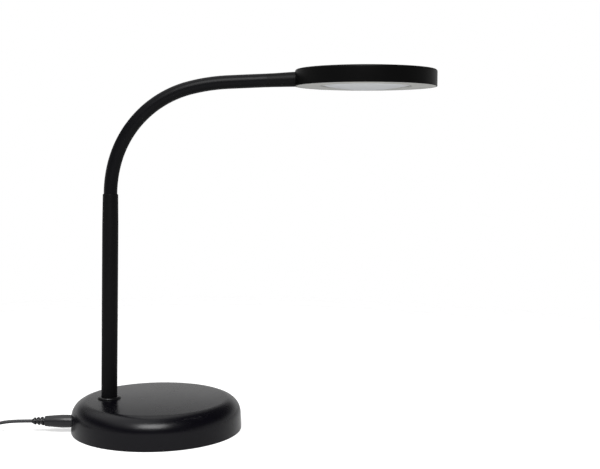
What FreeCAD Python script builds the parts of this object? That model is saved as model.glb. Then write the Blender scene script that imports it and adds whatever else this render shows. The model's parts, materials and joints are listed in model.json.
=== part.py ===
import FreeCAD, Part
import math
import os

# A desk lamp: a weighted round base, an upright tube, a gooseneck that stays where it is bent,
# and a flat round head. Millimetres. The origin is the middle of the base's underside, +X points
# from the post to the head and +Z up.

# Base shell
base_radius = 76.0
base_height = 27.6
shell_bottom = 0.1
shell_wall = 2.4
shell_draft = 0.65
shoulder_radius = 13.9

# Foam pad, base plate and the screws that hold it
pad_inset = 2.7
pad_thickness = 0.8
plate_thickness = 1.6
plate_gap = 0.4
plate_screw_count = 4
plate_screw_angle = 45.0
plate_screw_inset = 6.9
plate_screw_radius = 1.4
plate_screw_head_radius = 2.6
plate_screw_length = 8.0
plate_boss_radius = 3.4

# Cast iron weight and its screws
weight_gap = 0.9
weight_thickness = 12.0
weight_flat_gap = 2.0
weight_edge = 1.5
weight_screw_angles = (0.0, 100.0, -100.0)
weight_screw_inset = 18.0
weight_boss_radius = 4.5
weight_screw_radius = 1.9
weight_screw_bite = 6.0
weight_screw_play = 0.2
weight_head_radius = 4.0
weight_head_height = 2.6
weight_head_play = 0.4

# Socket for the plug, set back in a round pocket of the shell
socket_y = -16.0
socket_z = 10.3
pocket_radius = 6.6
pocket_depth = 3.2
pocket_wall = 1.3
pocket_floor = 2.2
socket_nose_radius = 4.0
socket_bore_radius = 2.85
socket_bore_depth = 9.8
socket_pin_radius = 1.0
socket_pin_setback = 0.8
socket_body_width = 9.0
socket_body_height = 11.0
socket_body_length = 12.5
socket_rib = 1.4

# Post, which stands one degree out of plumb under the weight of the head
post_inset = 33.1
post_lean = 1.0
post_height = 184.0
post_radius = 7.12
post_mouth_radius = 6.78
post_taper_length = 28.0
post_bore_radius = 6.05
post_lip = 0.6
collar_radius = 10.3
collar_height = 1.5
collar_edge = 0.6
stud_radius = 5.0
stud_bore_radius = 3.0
stud_length = 13.0
stud_plug_length = 14.0
stud_chamfer = 0.8
stud_hole_play = 0.3
post_boss_radius = 13.0
post_boss_height = 2.0
washer_radius = 9.5
washer_thickness = 1.2
nut_flats = 16.0
nut_height = 5.0

# Gooseneck: its bend at rest as stretches of even curvature, then the play of its links
neck_radius = 6.0
neck_lengths = (28.5, 99.0, 34.5, 57.8)
neck_turns = (14.5, 60.5, 11.5, 0.0)
neck_end_inset = 20.0
link_count = 11
first_pivot = 7.0
ferrule_length = 19.0
last_pivot_inset = 6.0
ball_radius = 5.4
ball_stem_radius = 3.9
cup_wall_play = 0.1
cup_skirt = 1.6
cup_depth = 6.6
dish_play = 0.3
lead_bore_radius = 1.7

# Ferrule at the head, with a spigot held by a clip inside the wall
ferrule_radius = 6.5
ferrule_fullness = 0.1
spigot_radius = 3.2
spigot_hole_play = 0.3
spigot_length = 10.5
spigot_groove_depth = 0.8
clip_width = 12.0
clip_height = 7.2
clip_thickness = 1.1
clip_play = 0.1

# Head shell
head_radius = 62.5
head_thickness = 14.5
head_wall = 2.0
head_top_edge = 1.8
head_rim_wall = 0.8
head_rim_edge = 0.3
ferrule_above_rim = 6.1

# Light ring, which drops into a step of the shell's rim, and domed lens
ring_gap = 0.15
ring_recess = 0.1
ring_thickness = 1.8
ring_width = 22.2
ring_lip_wall = 1.6
ring_lip_height = 1.8
ring_peg_count = 6
ring_peg_inset = 9.5
ring_peg_radius = 1.6
ring_peg_height = 4.5
peg_boss_radius = 3.4
lens_gap = 0.3
lens_step = 0.2
lens_sag = 3.3
lens_wall = 2.0
lens_flange_width = 2.7
lens_flange_thickness = 1.2

# Heat plate, LED board and chips
heat_plate_gap = 1.3
heat_plate_thickness = 1.5
heat_boss_height = 1.5
heat_boss_radius = 3.2
heat_screw_count = 3
heat_screw_angle = 60.0
heat_screw_inset = 5.0
heat_screw_radius = 1.25
heat_screw_play = 0.2
heat_screw_head_radius = 2.2
heat_screw_head_height = 1.3
heat_screw_bite = 2.2
led_board_inset = 4.5
led_board_thickness = 1.2
chip_length = 3.5
chip_width = 2.8
chip_height = 0.8
chip_inset = 4.0
chip_counts = (6, 12, 12)

# Switch in the top of the head
key_inset = 13.5
key_radius = 7.0
key_gap = 0.3
key_proud = 0.8
key_edge = 0.5
key_dish = 0.35
key_flange_radius = 8.2
key_flange_thickness = 1.2
key_stem_radius = 2.0
key_stem_gap = 0.9
switch_board_length = 12.0
switch_board_width = 27.0
switch_board_thickness = 1.2
switch_board_z = 4.2
switch_size = 6.0
switch_height = 1.4
plunger_radius = 1.6
plunger_height = 0.5
board_boss_offset = 11.3
board_boss_radius = 2.1
board_pin_radius = 0.9
board_pin_proud = 0.4

# Plug and lead
lead_diameter = 3.0
plug_gap = 0.5
plug_front_radius = 5.45
plug_belly_radius = 5.6
plug_back_radius = 4.5
plug_belly_place = 10.2
plug_length = 25.5
plug_edge = 0.5
rib_pitch = 3.4
rib_width = 2.1
rib_radii = (4.0, 3.7, 3.3)
rib_front_drop = 0.35
rib_back_drop = 0.7
rib_core_radius = 2.2
boot_end_radius = 2.0
boot_end_length = 1.2
barrel_radius = 2.75
barrel_bore_radius = 1.1
barrel_length = 9.3

# Put-away coil of the lead
coil_x = -204.0
coil_y = -38.5
coil_outer_radius = 22.8
coil_turns = 12.75
coil_layers = 4
coil_turns_per_layer = 3.25
coil_pitch = 3.6
coil_rise = 3.5
coil_steps_per_turn = 4
coil_start_angle = 90.0
climb_turns = 0.5
climb_steepness = 1.5
tie_width = 5.0
tie_thickness = 0.6
tie_gap = 0.1
tie_angle = 200.0

# Wall adapter beside the coil
adapter_x = -187.0
adapter_y = 12.0
adapter_length = 60.0
adapter_width = 30.0
adapter_depth = 34.0
adapter_edge = 3.0
adapter_wall = 2.0
adapter_lid_depth = 9.0
adapter_pin_radius = 2.0
adapter_pin_length = 19.0
adapter_pin_root = 4.0
adapter_pin_spacing = 18.6
adapter_pin_inset = 18.0
adapter_boot_length = 12.0
adapter_boot_radius = 4.0
adapter_boot_tip_radius = 2.6
adapter_board_thickness = 1.6
adapter_board_gap = 1.0
transformer_size = (15.0, 18.0, 14.0)
transformer_shift = 7.5

# Thin leads inside the lamp
inner_lead_diameter = 1.8
led_lead_diameter = 1.2
rim_lead_height = 8.4
rim_lead_angles = (-165.0, -138.0, -112.0, -86.0, -61.0, -38.0)

# Fits and forms that many pieces share
fastener_play = 0.05
hole_spare = 0.5
cut_past = 1.0
screw_crown = 0.7
bend_share = 0.45
same_place = 1e-6

os.makedirs("parts", exist_ok=True)


def at(x, y, z):
    return FreeCAD.Vector(x, y, z)


ORIGIN = at(0, 0, 0)
ALONG_X = at(1, 0, 0)
ALONG_Y = at(0, 1, 0)
ALONG_Z = at(0, 0, 1)


def outline(start, *steps):
    """A closed face in the XZ plane. A step is a point, or a middle point and an end for an arc."""
    here = at(start[0], 0, start[1])
    first = here
    edges = []
    for step in steps:
        if isinstance(step[0], tuple):
            middle, end = step
            there = at(end[0], 0, end[1])
            edges.append(Part.Arc(here, at(middle[0], 0, middle[1]), there).toShape())
        else:
            there = at(step[0], 0, step[1])
            edges.append(Part.makeLine(here, there))
        here = there
    if here.distanceToPoint(first) > same_place:
        edges.append(Part.makeLine(here, first))
    return Part.Face(Part.Wire(edges))


def spun(start, *steps):
    """A turned solid: an outline of (radius, height) points taken round the Z axis."""
    return outline(start, *steps).revolve(ORIGIN, ALONG_Z, 360)


def quarter(center, radius, start_angle, end_angle):
    """The middle and end points of an arc about center, for outline()."""
    middle_angle = math.radians((start_angle + end_angle) / 2)
    end = math.radians(end_angle)
    return (
        (center[0] + radius * math.cos(middle_angle), center[1] + radius * math.sin(middle_angle)),
        (center[0] + radius * math.cos(end), center[1] + radius * math.sin(end)),
    )


def dome_through(radius, edge_z, sag):
    """The middle and end points of an arc from (radius, edge_z) to the axis, sag below the edge."""
    sphere = (radius ** 2 + sag ** 2) / (2 * sag)
    half = math.asin(radius / sphere) / 2
    return ((sphere * math.sin(half), edge_z - sag + sphere - sphere * math.cos(half)), (0, edge_z - sag))


def rod(radius, length, base=ORIGIN, direction=ALONG_Z):
    return Part.makeCylinder(radius, length, base, direction)


def box(size_x, size_y, size_z, center_x, center_y, bottom):
    return Part.makeBox(size_x, size_y, size_z, at(center_x - size_x / 2, center_y - size_y / 2, bottom))


def moved(shape, x, y, z):
    copy = shape.copy()
    copy.translate(at(x, y, z))
    return copy


def on_circle(radius, angle):
    return radius * math.cos(math.radians(angle)), radius * math.sin(math.radians(angle))


def round_points(count, radius, first_angle=0.0):
    return [on_circle(radius, first_angle + 360.0 / count * k) for k in range(count)]


def screw(head_radius, head_height, shank_radius, length):
    """A slotted pan-head screw, head down, its shank standing up from z = 0."""
    slot = box(2 * head_radius, head_height / 3, head_height / 2, 0, 0, -head_height)
    head = spun(
        (0, -head_height),
        (head_radius * screw_crown, -head_height),
        (head_radius, -head_height / 2),
        (head_radius, 0),
        (0, 0),
    )
    return head.cut(slot).fuse(rod(shank_radius, length))


def lead_tube(points, diameter):
    """A tube of straight runs joined by tangent arcs, and the radii of those arcs."""
    edges = []
    radii = []
    here = points[0]
    for before, corner, after in zip(points, points[1:], points[2:]):
        back = (before - corner).normalize()
        ahead = (after - corner).normalize()
        half_turn = (math.pi - back.getAngle(ahead)) / 2
        reach = bend_share * min(corner.distanceToPoint(before), corner.distanceToPoint(after))
        radius = reach / math.tan(half_turn)
        radii.append(radius)
        enter = corner + back * reach
        leave = corner + ahead * reach
        inward = (back + ahead).normalize()
        middle = corner + inward * (radius / math.cos(half_turn) - radius)
        edges.append(Part.makeLine(here, enter))
        edges.append(Part.Arc(enter, middle, leave).toShape())
        here = leave
    edges.append(Part.makeLine(here, points[-1]))
    path = Part.Wire(edges)
    section = Part.Wire(Part.makeCircle(diameter / 2, points[0], points[1] - points[0]))
    return path.makePipeShell([section], True, False), path, radii


def report_tube(name, tube, path, radii, diameter):
    section = math.pi * diameter * diameter / 4
    print(name, "length", round(path.Length, 1), "bend radii", [round(r, 1) for r in radii])
    print(name, "volume over section x length", round(tube.Volume / (section * path.Length), 4))


def save(name, shape):
    shape.exportStep("parts/" + name + ".step")


# Base shell: a turned moulding, open below, with a flat top and a round shoulder
shell_inner_top = base_height - shell_wall
wall_top = base_height - shoulder_radius
plate_bottom = pad_thickness
plate_top = plate_bottom + plate_thickness


def shell_form(inset, bottom):
    """The outer form of the base, or the form inset millimetres inside it."""
    side = base_radius - inset
    shoulder = shoulder_radius - inset
    top = base_height - inset
    drafted = side - shell_draft
    shoulder_arc = quarter((drafted - shoulder, wall_top), shoulder, 0, 90)
    return spun((0, bottom), (side, bottom), (drafted, wall_top), shoulder_arc, (0, top))


base_form = shell_form(0, shell_bottom)
base_shell = base_form.cut(shell_form(shell_wall, shell_bottom - shell_wall))

plate_radius = base_radius - shell_wall - plate_gap
plate_screw_circle = plate_radius - plate_screw_inset
plate_screws_at = round_points(plate_screw_count, plate_screw_circle, plate_screw_angle)
weight_radius = plate_screw_circle - plate_boss_radius - weight_gap
weight_screw_circle = weight_radius - weight_screw_inset
weight_screws_at = [on_circle(weight_screw_circle, angle) for angle in weight_screw_angles]
weight_top = plate_top + weight_thickness
post_x = post_inset - base_radius

# Bosses that stand down from the top of the shell
for x, y in plate_screws_at:
    boss = rod(plate_boss_radius, base_height, at(x, y, plate_top)).common(base_form)
    base_shell = base_shell.fuse(boss)
for x, y in weight_screws_at:
    boss = rod(weight_boss_radius, base_height, at(x, y, weight_top)).common(base_form)
    base_shell = base_shell.fuse(boss)
post_boss_bottom = shell_inner_top - post_boss_height
base_shell = base_shell.fuse(rod(post_boss_radius, post_boss_height, at(post_x, 0, post_boss_bottom)))

# Round pocket for the plug, and two ribs that hold the socket
wall_x = -math.sqrt(base_radius ** 2 - socket_y ** 2)
pocket_x = wall_x + pocket_depth
socket_x = pocket_x + pocket_floor
socket_axis = at(0, socket_y, socket_z)
tube_start = at(wall_x - shell_wall, socket_y, socket_z)
pocket_tube = rod(pocket_radius + pocket_wall, socket_x - tube_start.x, tube_start, ALONG_X)
base_shell = base_shell.fuse(pocket_tube.common(base_form))
for side in (-1, 1):
    rib_y = socket_y + side * (socket_body_width / 2 + socket_rib / 2 + fastener_play)
    rib = box(socket_body_length, socket_rib, base_height, socket_x + socket_body_length / 2, rib_y, socket_z)
    base_shell = base_shell.fuse(rib.common(base_form))
pocket = rod(pocket_radius, base_radius, at(pocket_x - base_radius, socket_y, socket_z), ALONG_X)
nose_start = at(pocket_x, socket_y, socket_z)
nose_hole = rod(socket_nose_radius + fastener_play, 2 * pocket_floor, nose_start, ALONG_X)
base_shell = base_shell.cut(pocket).cut(nose_hole)
for x, y in plate_screws_at:
    hole = rod(plate_screw_radius + fastener_play, plate_screw_length + hole_spare, at(x, y, plate_top))
    base_shell = base_shell.cut(hole)
for x, y in weight_screws_at:
    hole = rod(weight_screw_radius + fastener_play, weight_screw_bite + hole_spare, at(x, y, weight_top))
    base_shell = base_shell.cut(hole)
stud_hole_radius = stud_radius + stud_hole_play
base_shell = base_shell.cut(rod(stud_hole_radius, base_height, at(post_x, 0, 0)))
save("base_shell", base_shell.removeSplitter())

# Foam pad over the whole underside
save("base_pad", rod(plate_radius - pad_inset, pad_thickness))

# Base plate with countersunk holes
base_plate = rod(plate_radius, plate_thickness, at(0, 0, plate_bottom))


def countersunk(top, play):
    """A countersunk screw, head down in the plate, up to this height and larger by this play."""
    head = plate_screw_head_radius + play
    shank = plate_screw_radius + play
    cone_top = plate_bottom + head - shank
    return spun((0, plate_bottom), (head, plate_bottom), (shank, cone_top), (shank, top), (0, top))


plate_screws = []
for x, y in plate_screws_at:
    base_plate = base_plate.cut(moved(countersunk(plate_top, fastener_play), x, y, 0))
    plate_screws.append(moved(countersunk(plate_top + plate_screw_length, 0), x, y, 0))
save("base_plate", base_plate)
save("plate_screws", Part.makeCompound(plate_screws))

# Cast weight: a disc with broken edges, cut flat beside the post, with counterbored holes
base_weight = spun(
    (0, plate_top),
    (weight_radius - weight_edge, plate_top),
    (weight_radius, plate_top + weight_edge),
    (weight_radius, weight_top - weight_edge),
    (weight_radius - weight_edge, weight_top),
    (0, weight_top),
)
weight_flat_x = post_x + post_boss_radius + weight_flat_gap
base_weight = base_weight.cut(
    box(2 * weight_radius, 2 * weight_radius, base_height, weight_flat_x - weight_radius, 0, 0)
)
for x, y in weight_screws_at:
    base_weight = base_weight.cut(rod(weight_screw_radius + weight_screw_play, base_height, at(x, y, 0)))
    counterbore = rod(weight_head_radius + weight_head_play, weight_head_height, at(x, y, plate_top))
    base_weight = base_weight.cut(counterbore)
save("base_weight", base_weight)

weight_screw_length = weight_thickness - weight_head_height + weight_screw_bite
weight_screw = screw(weight_head_radius, weight_head_height, weight_screw_radius, weight_screw_length)
weight_screws = [moved(weight_screw, x, y, plate_top + weight_head_height) for x, y in weight_screws_at]
save("weight_screws", Part.makeCompound(weight_screws))

# Socket: a block behind the pocket with a round nose through its floor
socket_body = box(
    socket_body_length, socket_body_width, socket_body_height,
    socket_x + socket_body_length / 2, socket_y, socket_z - socket_body_height / 2,
)
nose = rod(socket_nose_radius, pocket_floor, at(pocket_x, socket_y, socket_z), ALONG_X)
socket_bore = rod(socket_bore_radius, socket_bore_depth, at(pocket_x, socket_y, socket_z), ALONG_X)
pin_seat = rod(socket_pin_radius, base_radius, at(pocket_x, socket_y, socket_z), ALONG_X)
dc_socket = socket_body.fuse(nose).cut(socket_bore).cut(pin_seat)
save("dc_socket", dc_socket)
socket_back = socket_x + socket_body_length
pin_start = pocket_x + socket_pin_setback
socket_pin = rod(socket_pin_radius, socket_back - pin_start, at(pin_start, socket_y, socket_z), ALONG_X)
save("socket_pin", socket_pin)

# Collar: a flat ring with a rounded edge that covers the foot of the post
lean_angle = math.radians(post_lean)
lean_rise = post_radius * math.sin(lean_angle)
collar_bore = post_radius + lean_rise
collar_top = base_height + collar_height
collar = spun(
    (collar_bore, base_height),
    (collar_radius, base_height),
    (collar_radius, collar_top - collar_edge),
    quarter((collar_radius - collar_edge, collar_top - collar_edge), collar_edge, 0, 90),
    (collar_bore, collar_top),
)
save("post_collar", moved(collar, post_x, 0, 0))

# Everything on the post is made upright at its foot, then leant
foot = at(post_x, 0, base_height)
leaning = FreeCAD.Placement(foot, FreeCAD.Rotation(ALONG_Y, post_lean))


def on_post(shape):
    copy = shape.copy()
    copy.Placement = leaning.multiply(copy.Placement)
    return copy


taper_start = post_height - post_taper_length
post_tube = spun(
    (post_bore_radius, lean_rise),
    (post_radius, lean_rise),
    (post_radius, taper_start),
    (post_mouth_radius, post_height - post_lip),
    quarter((post_mouth_radius - post_lip, post_height - post_lip), post_lip, 0, 90),
    (post_bore_radius, post_height),
)
save("post_tube", on_post(post_tube))

# Hollow threaded stud, pressed into the foot of the tube, with its washer and nut
stud_plug_radius = post_bore_radius - fastener_play
stud = spun(
    (stud_bore_radius, -stud_length),
    (stud_radius - stud_chamfer, -stud_length),
    (stud_radius, stud_chamfer - stud_length),
    (stud_radius, lean_rise),
    (stud_plug_radius, lean_rise),
    (stud_plug_radius, stud_plug_length),
    (stud_bore_radius, stud_plug_length),
)
save("post_stud", on_post(stud))

washer_top = post_boss_bottom
washer = rod(washer_radius, washer_thickness).cut(rod(stud_hole_radius, washer_thickness))
save("post_washer", moved(washer, post_x, 0, washer_top - washer_thickness))

nut_corner = nut_flats / math.sqrt(3)
nut_top = washer_top - washer_thickness - base_height - nut_corner * math.sin(lean_angle)
corners = [at(x, y, nut_top - nut_height) for x, y in round_points(6, nut_corner)]
nut = Part.Face(Part.makePolygon(corners + corners[:1])).extrude(at(0, 0, nut_height))
nut = nut.cut(rod(stud_radius + fastener_play, nut_height, at(0, 0, nut_top - nut_height)))
save("post_nut", on_post(nut))

# Lead from the socket to the post, and up the inside of the post
lead_start = at(socket_back, socket_y, socket_z)
stud_mouth = leaning.multVec(at(0, 0, -stud_length))
base_lead_points = [
    lead_start,
    lead_start + at(8.9, 0.0, 0.0),
    stud_mouth + at(0.0, -11.0, -5.6),
    stud_mouth + at(0.0, -5.0, -7.6),
    leaning.multVec(at(0, 0, -stud_length - 3.3)),
    leaning.multVec(at(0, 0, -stud_length / 2)),
]
base_lead, base_lead_path, base_lead_radii = lead_tube(base_lead_points, inner_lead_diameter)
report_tube("base_lead", base_lead, base_lead_path, base_lead_radii, inner_lead_diameter)
save("base_lead", base_lead)
post_lead_top = post_height - neck_end_inset
post_lead = rod(inner_lead_diameter / 2, post_lead_top + stud_length / 2, at(0, 0, -stud_length / 2))
save("post_lead", on_post(post_lead))


# Gooseneck
# A place on the neck is the point, and the angle from upright, at a length along its middle line.
class Place:
    def __init__(self, point, angle):
        self.point = point
        self.angle = angle

    def placement(self):
        return FreeCAD.Placement(self.point, FreeCAD.Rotation(ALONG_Y, math.degrees(self.angle)))

    def put(self, shape):
        copy = shape.copy()
        copy.Placement = self.placement().multiply(copy.Placement)
        return copy

    def onward(self, length, turn):
        """The place after an arc of this length that turns towards the head by turn radians."""
        if abs(turn) < same_place:
            step = at(0, 0, length)
        else:
            bend = length / turn
            step = at(bend - bend * math.cos(turn), 0, bend * math.sin(turn))
        return Place(self.placement().multVec(step), self.angle + turn)


def turn_at(length):
    """How far, in radians, the neck has turned at this length along its middle line."""
    turned = 0.0
    for stretch, turn in zip(neck_lengths, neck_turns):
        share = min(max(length, 0.0), stretch) / stretch
        turned += math.radians(turn) * share
        length -= stretch
    return turned


neck_length = sum(neck_lengths)
flexible_length = neck_length - ferrule_length
last_pivot = flexible_length - last_pivot_inset
link_length = (last_pivot - first_pivot) / link_count
mouth = Place(leaning.multVec(at(0, 0, post_height)), lean_angle)
pivots = [mouth.onward(first_pivot, turn_at(first_pivot))]
link_turns = []
for k in range(link_count):
    start = first_pivot + k * link_length
    turn = turn_at(start + link_length) - turn_at(start)
    link_turns.append(turn)
    pivots.append(pivots[-1].onward(link_length, turn))
wall_turn = turn_at(neck_length) - turn_at(last_pivot)
head_wall_place = pivots[-1].onward(neck_length - last_pivot, wall_turn)

cup_radius = ball_radius + cup_wall_play
rim_reach = math.hypot(neck_radius, cup_skirt)
dish_radius = rim_reach + dish_play


def bent_rod(radius, length, turn):
    """A rod that starts upwards at the origin and bends towards +X."""
    face = Part.Face(Part.Wire(Part.makeCircle(radius, ORIGIN, ALONG_Z)))
    if abs(turn) < same_place:
        return face.extrude(at(0, 0, length))
    return face.revolve(at(length / turn, 0, 0), ALONG_Y, math.degrees(turn))


def with_ball(body, end):
    """The body with its end dished and a ball on a stem standing in the dish."""
    dish = Part.makeSphere(dish_radius)
    stem = rod(ball_stem_radius, cup_depth, at(0, 0, -cup_depth))
    knuckle = Part.makeSphere(ball_radius).fuse(stem)
    return body.cut(end.put(dish)).fuse(end.put(knuckle))


def neck_link(length, turn):
    """One link: a cup over the ball below it, a bent barrel, and a ball for the next link."""
    end = Place(ORIGIN, 0.0).onward(length, turn)
    skirt = rod(neck_radius, cup_skirt, at(0, 0, -cup_skirt))
    body = bent_rod(neck_radius, length, turn).fuse(skirt)
    body = with_ball(body, end).cut(Part.makeSphere(cup_radius))
    body = body.cut(bent_rod(lead_bore_radius, length, turn))
    return body.cut(end.put(rod(lead_bore_radius, ball_radius)))


first_turn = turn_at(first_pivot)
lower_ball = Place(ORIGIN, 0.0).onward(first_pivot, first_turn)
lower_end = rod(neck_radius, neck_end_inset, at(0, 0, -neck_end_inset))
lower_end = with_ball(lower_end.fuse(bent_rod(neck_radius, first_pivot, first_turn)), lower_ball)
lower_end = lower_end.cut(rod(lead_bore_radius, neck_end_inset, at(0, 0, -neck_end_inset)))
lower_end = lower_end.cut(bent_rod(lead_bore_radius, first_pivot, first_turn))
lower_end = lower_end.cut(lower_ball.put(rod(lead_bore_radius, ball_radius)))
save("neck_lower_end", mouth.put(lower_end))
for k, turn in enumerate(link_turns):
    save("neck_link_%02d" % (k + 1), pivots[k].put(neck_link(link_length, turn)))

# Head: made in its own place, middle of the rim plane at the origin, then moved to the neck's end
head_x = head_wall_place.point.x + head_radius
head_z = head_wall_place.point.z - ferrule_above_rim


def in_head(shape):
    return moved(shape, head_x, 0, head_z)


head_inner_top = head_thickness - head_wall
head_inner_radius = head_radius - head_wall
head_form = spun(
    (0, 0),
    (head_radius - head_rim_edge, 0),
    quarter((head_radius - head_rim_edge, head_rim_edge), head_rim_edge, -90, 0),
    (head_radius, head_thickness - head_top_edge),
    quarter((head_radius - head_top_edge, head_thickness - head_top_edge), head_top_edge, 0, 90),
    (0, head_thickness),
)
inner_edge = head_top_edge - head_wall / 2
ring_back = ring_recess + ring_thickness
ring_step_radius = head_radius - head_rim_wall
head_hollow = spun(
    (0, -cut_past),
    (ring_step_radius, -cut_past),
    (ring_step_radius, ring_back),
    (head_inner_radius, ring_back),
    (head_inner_radius, head_inner_top - inner_edge),
    quarter((head_inner_radius - inner_edge, head_inner_top - inner_edge), inner_edge, 0, 90),
    (0, head_inner_top),
)
head_shell = head_form.cut(head_hollow)

ring_peg_circle = head_radius - ring_peg_inset
pegs_at = round_points(ring_peg_count, ring_peg_circle, 180.0 / ring_peg_count)
for x, y in pegs_at:
    boss = rod(peg_boss_radius, head_inner_top - ring_back + head_wall / 2, at(x, y, ring_back))
    boss = boss.cut(rod(ring_peg_radius + fastener_play, ring_peg_height + hole_spare, at(x, y, ring_back)))
    head_shell = head_shell.fuse(boss)
key_x = head_radius - key_inset
heat_plate_top = head_inner_top - heat_boss_height
heat_plate_radius = key_x - key_flange_radius - heat_plate_gap
heat_screw_circle = heat_plate_radius - heat_screw_inset
heat_screws_at = round_points(heat_screw_count, heat_screw_circle, heat_screw_angle)
for x, y in heat_screws_at:
    boss = rod(heat_boss_radius, heat_boss_height + head_wall / 2, at(x, y, heat_plate_top))
    hole = rod(heat_screw_radius + fastener_play, heat_screw_bite + hole_spare / 2, at(x, y, heat_plate_top))
    head_shell = head_shell.fuse(boss).cut(hole)
switch_board_top = switch_board_z + switch_board_thickness
board_boss_length = head_inner_top - switch_board_top + head_wall / 2
for side in (-1, 1):
    y = side * board_boss_offset
    boss = rod(board_boss_radius, board_boss_length, at(key_x, y, switch_board_top))
    pin_bottom = switch_board_z - board_pin_proud
    pin = rod(board_pin_radius, switch_board_top - pin_bottom, at(key_x, y, pin_bottom))
    head_shell = head_shell.fuse(boss).fuse(pin)
key_hole = rod(key_radius + key_gap, head_thickness, at(key_x, 0, head_inner_top - cut_past))
head_shell = head_shell.cut(key_hole)

# The ferrule's spigot goes through the wall beside the neck
ferrule_place = Place(at(-head_radius, 0, ferrule_above_rim), head_wall_place.angle)
spigot_hole = rod(spigot_radius + spigot_hole_play, 3 * head_wall, at(0, 0, -head_wall))
head_shell = head_shell.cut(ferrule_place.put(spigot_hole))
save("head_shell", in_head(head_shell.removeSplitter()))

# Ferrule: a cup over the last ball, a barrel that swells towards the head, and a grooved spigot
ferrule_reach = neck_length - last_pivot
swell_start = ferrule_reach - ferrule_length
ferrule = spun(
    (0, -cup_skirt),
    (neck_radius, -cup_skirt),
    (neck_radius, swell_start),
    (
        ((neck_radius + ferrule_radius) / 2 + ferrule_fullness, (swell_start + ferrule_reach) / 2),
        (ferrule_radius, ferrule_reach + head_wall / 2),
    ),
    (0, ferrule_reach + head_wall / 2),
)
ferrule = ferrule.cut(Part.makeSphere(cup_radius))
wall_bow = head_inner_radius - math.sqrt(head_inner_radius ** 2 - (clip_width / 2) ** 2)
wall_slant = clip_height / 2 * abs(math.cos(head_wall_place.angle))
clip_start = ferrule_reach + head_wall + wall_bow + wall_slant + clip_play
spigot = rod(spigot_radius, spigot_length, at(0, 0, ferrule_reach))
groove_root = spigot_radius - spigot_groove_depth
groove_width = clip_thickness + 2 * clip_play
groove = rod(spigot_radius, groove_width, at(0, 0, clip_start - clip_play))
groove = groove.cut(rod(groove_root, groove_width, at(0, 0, clip_start - clip_play)))
bore = rod(lead_bore_radius, ferrule_reach + spigot_length)
ferrule_origin = Place(ferrule_place.placement().multVec(at(0, 0, -ferrule_reach)), ferrule_place.angle)
ferrule_outside = ferrule_origin.put(ferrule).cut(rod(head_radius, head_thickness))
ferrule_solid = ferrule_outside.fuse(ferrule_origin.put(spigot.cut(groove))).cut(ferrule_origin.put(bore))
save("head_ferrule", in_head(ferrule_solid))

# Clip that drops over the spigot's groove, with a slot as wide as the groove
clip_place = Place(ferrule_origin.placement().multVec(at(0, 0, clip_start)), ferrule_place.angle)
clip_slot = groove_root + clip_play
clip = box(clip_height, clip_width, clip_thickness, 0, 0, 0).cut(rod(clip_slot, clip_thickness))
clip = clip.cut(box(clip_height, 2 * clip_slot, clip_thickness, -clip_height / 2, 0, 0))
save("ferrule_clip", in_head(clip_place.put(clip)))

# Light ring, with a lip round the lens and pegs into the shell
ring_radius = ring_step_radius - ring_gap
ring_bore_radius = head_radius - ring_width
lens_flange_radius = ring_bore_radius + lens_flange_width
lip_radius = lens_flange_radius + lens_gap
light_ring = spun(
    (ring_bore_radius, ring_recess),
    (ring_radius, ring_recess),
    (ring_radius, ring_back),
    (lip_radius + ring_lip_wall, ring_back),
    (lip_radius + ring_lip_wall, ring_back + ring_lip_height),
    (lip_radius, ring_back + ring_lip_height),
    (lip_radius, ring_back),
    (ring_bore_radius, ring_back),
)
for x, y in pegs_at:
    light_ring = light_ring.fuse(rod(ring_peg_radius, ring_peg_height, at(x, y, ring_back)))
save("light_ring", in_head(light_ring))

# Lens: a domed shell with a flange on the back of the ring
lens_radius = ring_bore_radius - lens_gap
lens_edge = ring_recess + lens_step
inner_rim = lens_radius - lens_wall
inner_edge_z = ring_back + lens_flange_thickness
inner_depth = inner_edge_z - (lens_edge - lens_sag + lens_wall)
lens = outline(
    (0, lens_edge - lens_sag + lens_wall),
    (0, lens_edge - lens_sag),
    (dome_through(lens_radius, lens_edge, lens_sag)[0], (lens_radius, lens_edge)),
    (lens_radius, ring_back),
    (lens_flange_radius, ring_back),
    (lens_flange_radius, inner_edge_z),
    (inner_rim, inner_edge_z),
    dome_through(inner_rim, inner_edge_z, inner_depth),
).revolve(ORIGIN, ALONG_Z, 360)
save("dome_lens", in_head(lens))

# Heat plate, LED board and chips
heat_plate_bottom = heat_plate_top - heat_plate_thickness
heat_plate = rod(heat_plate_radius, heat_plate_thickness, at(0, 0, heat_plate_bottom))
for x, y in heat_screws_at:
    hole = rod(heat_screw_radius + heat_screw_play, heat_plate_thickness, at(x, y, heat_plate_bottom))
    heat_plate = heat_plate.cut(hole)
save("heat_plate", in_head(heat_plate))
heat_screw_length = heat_plate_thickness + heat_screw_bite
heat_screw = screw(heat_screw_head_radius, heat_screw_head_height, heat_screw_radius, heat_screw_length)
heat_screws = [in_head(moved(heat_screw, x, y, heat_plate_bottom)) for x, y in heat_screws_at]
save("heat_plate_screws", Part.makeCompound(heat_screws))

led_board_radius = heat_screw_circle - led_board_inset
led_board_bottom = heat_plate_bottom - led_board_thickness
save("led_board", in_head(rod(led_board_radius, led_board_thickness, at(0, 0, led_board_bottom))))
chip = in_head(box(chip_length, chip_width, chip_height, 0, 0, led_board_bottom - chip_height))
chip_ring_step = (led_board_radius - chip_inset) / len(chip_counts)
chips = [chip]
for number, count in enumerate(chip_counts):
    for x, y in round_points(count, chip_ring_step * (number + 1)):
        chips.append(moved(chip, x, y, 0))
save("led_chips", Part.makeCompound(chips))

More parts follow.
